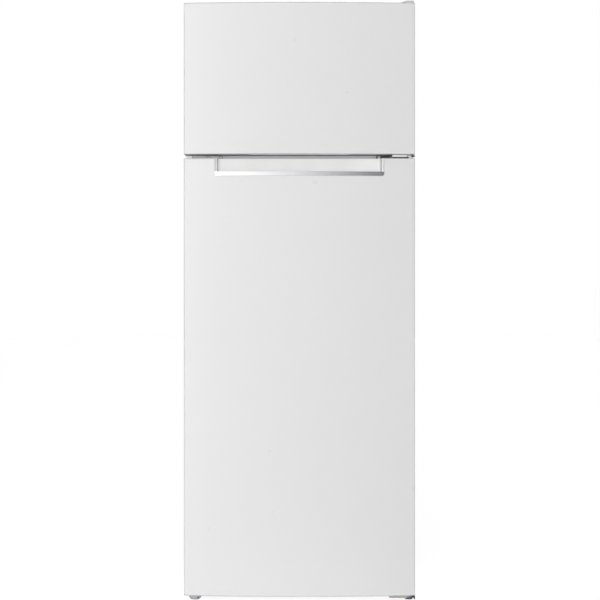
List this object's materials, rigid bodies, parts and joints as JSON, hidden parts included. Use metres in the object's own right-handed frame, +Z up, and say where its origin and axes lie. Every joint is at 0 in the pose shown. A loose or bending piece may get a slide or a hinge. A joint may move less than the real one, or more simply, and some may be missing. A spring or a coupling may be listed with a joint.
{
  "type": "top freezer refrigerator",
  "caption": "Free-standing refrigerator with a freezer above, arc-fronted doors hinged on the right and a recessed bright-lipped grip between them.",
  "frame": {"origin": "on the floor, under the middle of the footprint", "axes": "+Z up, the doors face -Y, the hinge side is +X"},
  "size_m": [0.5451, 0.555, 1.4265],
  "materials": {
    "white_paint": "satin white enamel on steel sheet",
    "crossbar_paint": "light grey enamel",
    "galvanised": "bare galvanised sheet",
    "foam": null,
    "liner_white": "gloss white moulding",
    "trim_white": "satin white moulding",
    "cap_white": "satin off-white moulding",
    "lid_white": "satin off-white moulding",
    "dark_plastic": "dark grey moulding",
    "gasket": "soft light grey magnetic seal",
    "bright_strip": "satin bright metal",
    "clear_plastic": "clear moulding",
    "shelf_glass": "toughened glass",
    "hinge_steel": "zinc plated steel",
    "dark_hinge": "dark coated steel",
    "screw_steel": "bright plated steel",
    "black_paint": "satin black paint",
    "copper": "bare copper tube",
    "aluminium": "bare rolled sheet",
    "coated_wire": "white coated steel wire",
    "black_plastic": "black moulding",
    "grey_plastic": "grey moulding",
    "mount_rubber": "black rubber",
    "bulb": "frosted bulb",
    "lens": "frosted clear moulding"
  },
  "bodies": {
    "cabinet": {"back_panel": "galvanised", "base_frame": "galvanised", "bottom_hinge": "hinge_steel", "bottom_panel": "galvanised", "cabinet_foam": "foam", "compressor": "black_paint", "compressor_mounts": "mount_rubber", "compressor_plate": "galvanised", "condenser_coil": "black_paint", "cord_gland": "black_plastic", "crisper_cover": "shelf_glass", "crossbar": "crossbar_paint", "drip_tray": "grey_plastic", "evaporator": "aluminium", "freezer_liner": "liner_white", "freezer_shelf": "coated_wire", "fridge_liner": "liner_white", "glass_shelf_lower": "shelf_glass", "glass_shelf_upper": "shelf_glass", "hinge_screws": "screw_steel", "lamp": "bulb", "lamp_cover": "lens", "middle_hinge": "dark_hinge", "middle_hinge_cover": "trim_white", "refrigerant_tubes": "copper", "roller_axles": "screw_steel", "shelf_trims": "trim_white", "side_panel_left": "white_paint", "side_panel_right": "white_paint", "switch_body": "trim_white", "terminal_box": "black_plastic", "thermostat_housing": "trim_white", "top_hinge": "hinge_steel", "top_hinge_cover": "lid_white", "top_panel": "white_paint", "wall_spacers": "grey_plastic"},
    "freezer_door": {"freezer_door_caps": "cap_white", "freezer_door_foam": "foam", "freezer_door_gasket": "gasket", "freezer_door_liner": "liner_white", "freezer_door_skin": "white_paint"},
    "fridge_door": {"fridge_door_caps": "cap_white", "fridge_door_foam": "foam", "fridge_door_gasket": "gasket", "fridge_door_liner": "liner_white", "fridge_door_skin": "white_paint", "handle_pocket": "trim_white", "handle_strip": "bright_strip"},
    "freezer_bin_lower": {"freezer_bin_lower": "clear_plastic"},
    "freezer_bin_upper": {"freezer_bin_upper": "clear_plastic"},
    "fridge_bin_lower": {"fridge_bin_lower": "clear_plastic"},
    "fridge_bin_middle": {"fridge_bin_middle": "clear_plastic"},
    "fridge_bin_upper": {"fridge_bin_upper": "clear_plastic"},
    "crisper_drawer": {"crisper_drawer": "clear_plastic"},
    "thermostat_knob": {"thermostat_knob": "trim_white"},
    "switch_plunger": {"switch_plunger": "trim_white"},
    "front_foot_left": {"front_foot_left": "grey_plastic"},
    "front_foot_right": {"front_foot_right": "dark_plastic"},
    "rear_roller_left": {"rear_roller_left": "grey_plastic"},
    "rear_roller_right": {"rear_roller_right": "grey_plastic"}
  },
  "joints": [
    {"name": "freezer_door_hinge", "type": "hinge", "parent": "cabinet", "child": "freezer_door", "pos_m": [0.262, -0.23, 1.24], "axis": [0, 0, 1], "range_deg": [0, 130]},
    {"name": "fridge_door_hinge", "type": "hinge", "parent": "cabinet", "child": "fridge_door", "pos_m": [0.262, -0.23, 0.5375], "axis": [0, 0, 1], "range_deg": [0, 130]},
    {"name": "freezer_bin_lower_lift", "type": "slide", "parent": "freezer_door", "child": "freezer_bin_lower", "axis": [0, 0, 1], "range_m": [0, 0.02]},
    {"name": "freezer_bin_upper_lift", "type": "slide", "parent": "freezer_door", "child": "freezer_bin_upper", "axis": [0, 0, 1], "range_m": [0, 0.02]},
    {"name": "fridge_bin_lower_lift", "type": "slide", "parent": "fridge_door", "child": "fridge_bin_lower", "axis": [0, 0, 1], "range_m": [0, 0.02]},
    {"name": "fridge_bin_middle_lift", "type": "slide", "parent": "fridge_door", "child": "fridge_bin_middle", "axis": [0, 0, 1], "range_m": [0, 0.02]},
    {"name": "fridge_bin_upper_lift", "type": "slide", "parent": "fridge_door", "child": "fridge_bin_upper", "axis": [0, 0, 1], "range_m": [0, 0.02]},
    {"name": "crisper_slide", "type": "slide", "parent": "cabinet", "child": "crisper_drawer", "axis": [0, -1, 0], "range_m": [0, 0.2]},
    {"name": "switch_plunger_slide", "type": "slide", "parent": "cabinet", "child": "switch_plunger", "axis": [0, -1, 0], "range_m": [0, 0.006]},
    {"name": "thermostat_knob_turn", "type": "hinge", "parent": "cabinet", "child": "thermostat_knob", "pos_m": [0, -0.08, 1.012], "axis": [0, -1, 0], "range_deg": [0, 300]},
    {"name": "front_foot_left_turn", "type": "hinge", "parent": "cabinet", "child": "front_foot_left", "pos_m": [-0.2504, -0.183, 0.02], "axis": [0, 0, 1], "continuous": true},
    {"name": "front_foot_right_turn", "type": "hinge", "parent": "cabinet", "child": "front_foot_right", "pos_m": [0.2624, -0.183, 0.02], "axis": [0, 0, 1], "continuous": true},
    {"name": "rear_roller_left_spin", "type": "hinge", "parent": "cabinet", "child": "rear_roller_left", "pos_m": [-0.232, 0.215, 0.013], "axis": [1, 0, 0], "continuous": true},
    {"name": "rear_roller_right_spin", "type": "hinge", "parent": "cabinet", "child": "rear_roller_right", "pos_m": [0.232, 0.215, 0.013], "axis": [1, 0, 0], "continuous": true}
  ],
  "couplings": [
    {"joint": "crisper_slide", "follows": "fridge_door_hinge", "m_per_rad": 0.0881},
    {"joint": "switch_plunger_slide", "follows": "fridge_door_hinge", "m_per_rad": 0.0026}
  ]
}
